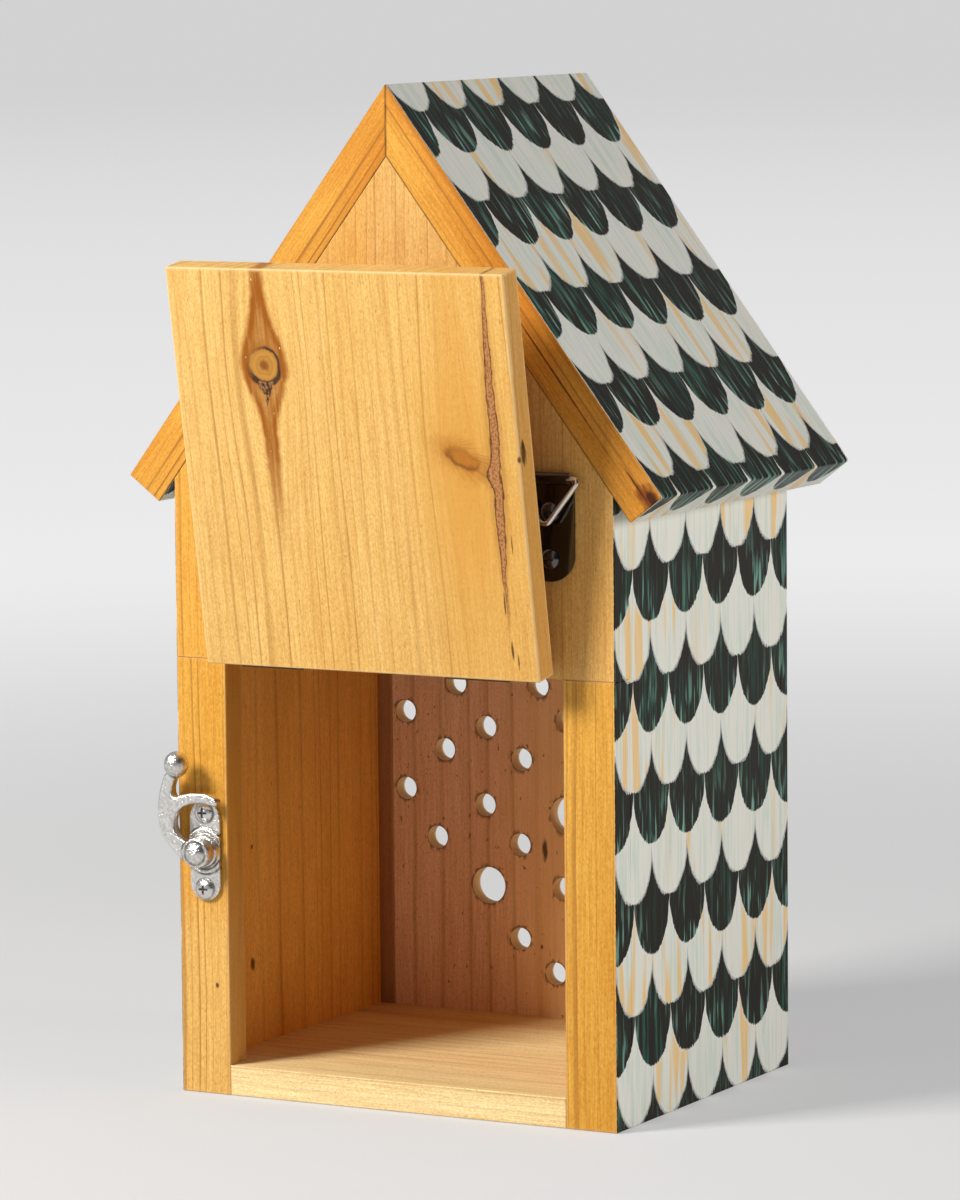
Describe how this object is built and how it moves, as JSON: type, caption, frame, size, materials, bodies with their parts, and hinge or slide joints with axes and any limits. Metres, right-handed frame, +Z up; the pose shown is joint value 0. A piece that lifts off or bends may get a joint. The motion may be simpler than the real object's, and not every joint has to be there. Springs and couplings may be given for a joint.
{
  "type": "bee hotel",
  "caption": "Gabled wooden bee hotel with a drilled front panel, painted walls and roof, and a back door that flips up and is held shut by a swing hook.",
  "frame": {"origin": "middle of the underside of the house body, which stands on it", "axes": "+Z up along the height, -Y out of the back with the door, +X to the right as one faces that door"},
  "size_m": [0.2172, 0.1955, 0.3704],
  "materials": {
    "painted_wood": "hand-painted gloss",
    "oiled_wood": "clear satin",
    "hinge_brass": "darkened",
    "black_steel": "gloss black",
    "bright_nickel": "bright plated",
    "ring_wire": "bright wire"
  },
  "bodies": {
    "house": {"left_wall": "painted_wood", "right_wall": "painted_wood", "floor_board": "oiled_wood", "left_back_stile": "oiled_wood", "right_back_stile": "oiled_wood", "back_gable_panel": "oiled_wood", "front_drilled_panel": "oiled_wood", "left_front_stile": "painted_wood", "right_front_stile": "painted_wood", "left_roof_board": "painted_wood", "right_roof_board": "painted_wood", "left_hinge_frame_leaf": "hinge_brass", "right_hinge_frame_leaf": "hinge_brass", "left_hinge_pin": "hinge_brass", "right_hinge_pin": "hinge_brass", "hinge_frame_screws": "hinge_brass", "left_hanger_strap": "black_steel", "right_hanger_strap": "black_steel", "hanger_screws": "black_steel", "latch_base_plate": "bright_nickel", "latch_base_screws": "bright_nickel", "latch_pivot_rivet": "bright_nickel"},
    "door": {"door_panel": "oiled_wood", "left_hinge_door_leaf": "hinge_brass", "right_hinge_door_leaf": "hinge_brass", "hinge_door_screws": "hinge_brass", "latch_catch": "bright_nickel", "latch_catch_screws": "bright_nickel"},
    "latch_arm": {"latch_arm": "bright_nickel"},
    "left_ring": {"left_hanger_ring": "ring_wire"},
    "right_ring": {"right_hanger_ring": "ring_wire"}
  },
  "joints": [
    {"name": "door_hinge", "type": "hinge", "parent": "house", "child": "door", "pos_m": [0, -0.0725, 0.1615], "axis": [1, 0, 0], "range_deg": [0, 170]},
    {"name": "latch_swing", "type": "hinge", "parent": "house", "child": "latch_arm", "pos_m": [-0.0783, -0.0706, 0.0904], "axis": [0, 1, 0], "range_deg": [0, 90]},
    {"name": "left_ring_swing", "type": "hinge", "parent": "house", "child": "left_ring", "pos_m": [-0.0655, -0.07285, 0.23274], "axis": [-1, 0, 0], "range_deg": [0, 24]},
    {"name": "right_ring_swing", "type": "hinge", "parent": "house", "child": "right_ring", "pos_m": [0.0655, -0.07285, 0.23274], "axis": [-1, 0, 0], "range_deg": [0, 24]}
  ]
}
